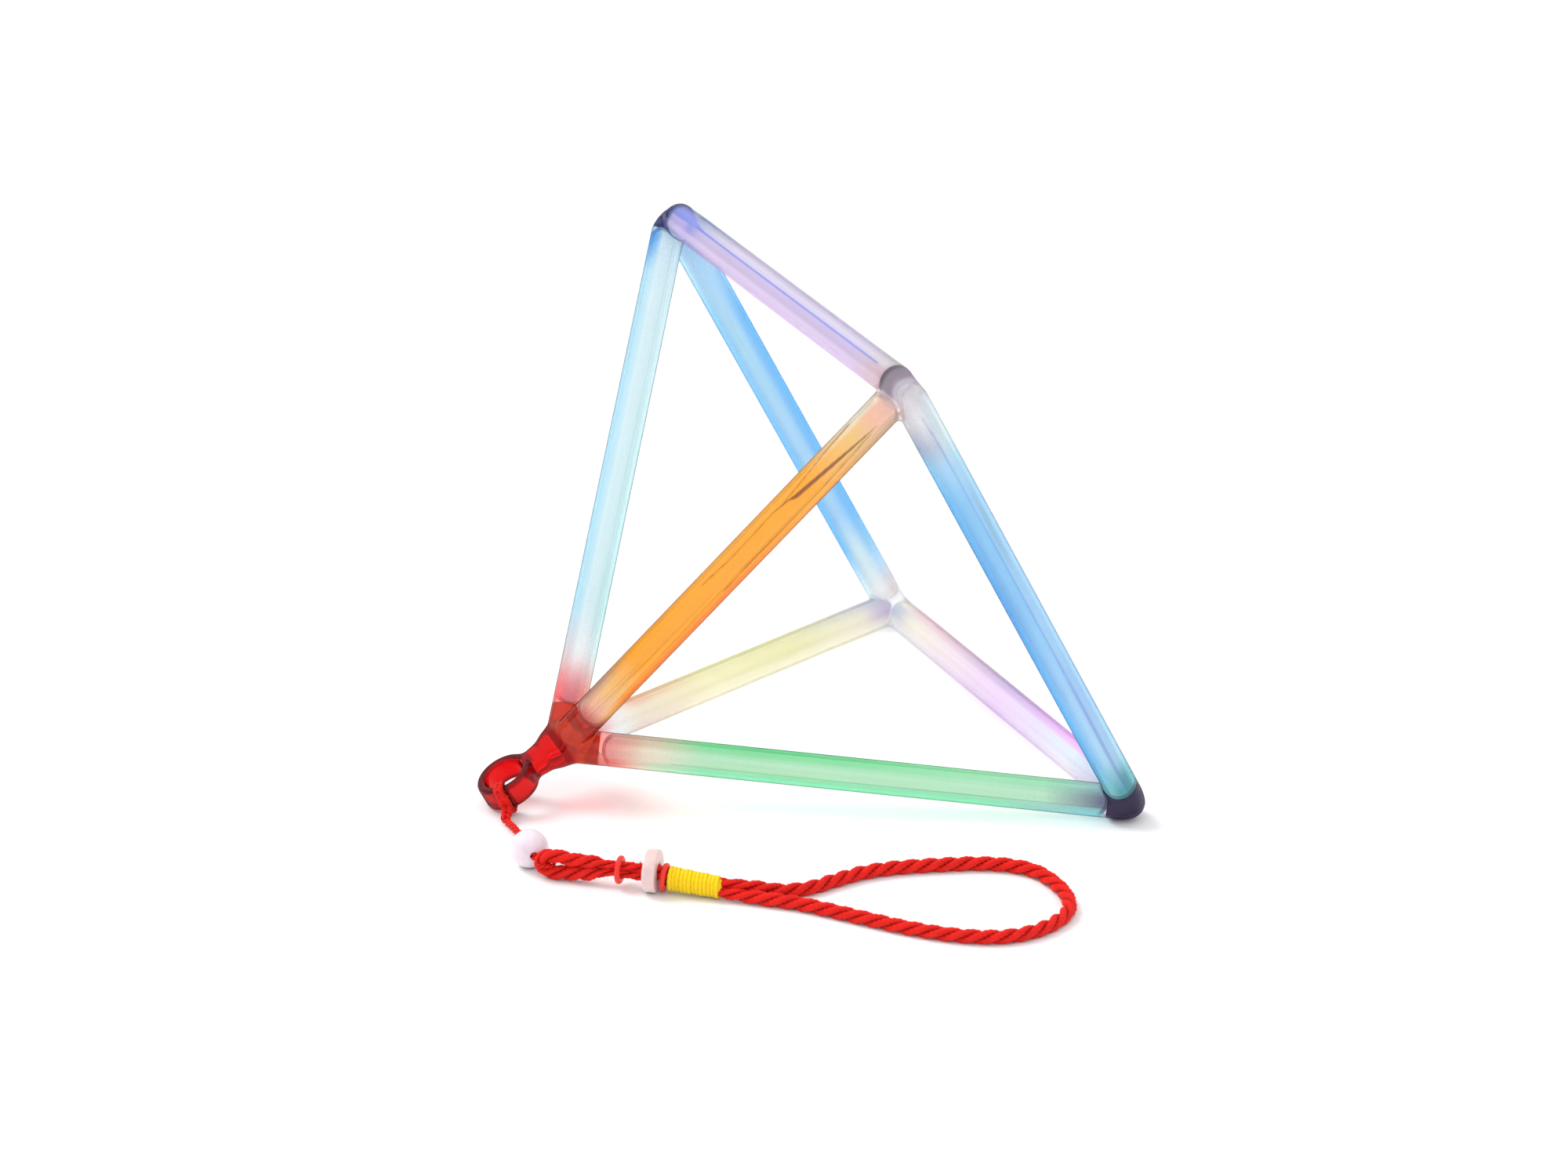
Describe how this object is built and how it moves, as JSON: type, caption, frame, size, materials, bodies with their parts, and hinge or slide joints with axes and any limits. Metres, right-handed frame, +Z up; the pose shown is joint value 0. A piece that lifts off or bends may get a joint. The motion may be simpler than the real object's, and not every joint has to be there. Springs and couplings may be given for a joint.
{
  "type": "glass singing pyramid chime",
  "caption": "Skeleton pyramid of fused coloured glass tubes with a red hanging ring, lying on one base edge, with a red cord, bead, stone disc and twisted hand loop.",
  "frame": {"origin": "on the table, below the middle of the base edge that lies on it", "axes": "+Z up; +X from the apex towards the base edge on the table; +Y along that edge, away from the cord"},
  "size_m": [0.1647, 0.2034, 0.1352],
  "materials": {
    "cyan_glass": "glossy, translucent, fire-polished",
    "orange_glass": "glossy, translucent, fire-polished",
    "yellow_glass": "glossy, translucent, fire-polished",
    "green_glass": "glossy, translucent, fire-polished",
    "lilac_glass": "glossy, translucent, fire-polished",
    "blue_glass": "glossy, translucent, fire-polished",
    "slate_glass": "glossy, translucent, fire-polished",
    "pale_glass": "glossy, translucent, fire-polished",
    "violet_glass": "glossy, translucent, fire-polished",
    "brick_red_glass": "glossy, translucent, fire-polished",
    "red_glass": "glossy, translucent, fire-polished",
    "red_cord": "twisted three-strand braided thread",
    "red_rubber": "satin",
    "milky_stone": "polished, milky",
    "pink_stone": "polished, slightly translucent",
    "yellow_thread": "tightly wound thread"
  },
  "bodies": {
    "glass_frame": {"cyan_side_tube": "cyan_glass", "orange_side_tube": "orange_glass", "yellow_side_tube": "yellow_glass", "green_side_tube": "green_glass", "top_lilac_tube": "lilac_glass", "near_blue_tube": "blue_glass", "ground_lilac_tube": "lilac_glass", "far_blue_tube": "blue_glass", "top_far_corner": "slate_glass", "top_near_corner": "pale_glass", "ground_near_corner": "violet_glass", "ground_far_corner": "pale_glass", "apex_hub": "brick_red_glass", "lug_neck": "red_glass", "lug_ring": "red_glass"},
    "ring_wrap": {"ring_wrap_cord": "red_cord"},
    "link": {"link_cord": "red_cord"},
    "bead": {"milky_bead": "milky_stone"},
    "strap": {"small_loop_cord": "red_cord", "core_cord": "red_cord", "yellow_whipping": "yellow_thread"},
    "o_ring_front": {"front_o_ring": "red_rubber"},
    "disc": {"stone_disc": "pink_stone"},
    "o_ring_rear": {"rear_o_ring": "red_rubber"},
    "hand_loop": {"hand_loop_cord": "red_cord"}
  },
  "joints": [
    {"name": "rim_slide", "type": "hinge", "parent": "glass_frame", "child": "ring_wrap", "pos_m": [-0.14609, 0, 0.00676], "axis": [-0.479, 0, 0.8778], "range_deg": [0, 12]},
    {"name": "link_swing", "type": "hinge", "parent": "ring_wrap", "child": "link", "pos_m": [-0.1514, -0.0119, 0.0015], "axis": [0, 0, 1], "range_deg": [-60, 8]},
    {"name": "bead_spin", "type": "hinge", "parent": "link", "child": "bead", "pos_m": [-0.1552, -0.0366, 0.005], "axis": [-0.1521, -0.9884, 0], "continuous": true},
    {"name": "strap_lift", "type": "hinge", "parent": "link", "child": "strap", "pos_m": [-0.15235, -0.04601, 0.0042], "axis": [-0.6225, -0.7826, 0], "range_deg": [0, 45]},
    {"name": "o_ring_front_slide", "type": "slide", "parent": "strap", "child": "o_ring_front", "axis": [0.7826, -0.6225, 0], "range_m": [-0.003, 0.001]},
    {"name": "disc_spin", "type": "hinge", "parent": "strap", "child": "disc", "pos_m": [-0.132, -0.0622, 0.0056], "axis": [0.7826, -0.6225, 0], "continuous": true},
    {"name": "o_ring_rear_slide", "type": "slide", "parent": "strap", "child": "o_ring_rear", "axis": [0.7807, -0.621, -0.0698], "range_m": [-0.0005, 0]},
    {"name": "hand_loop_lift", "type": "hinge", "parent": "strap", "child": "hand_loop", "pos_m": [-0.11619, -0.07477, 0.0026], "axis": [-0.6225, -0.7826, 0], "range_deg": [0, 75]}
  ]
}
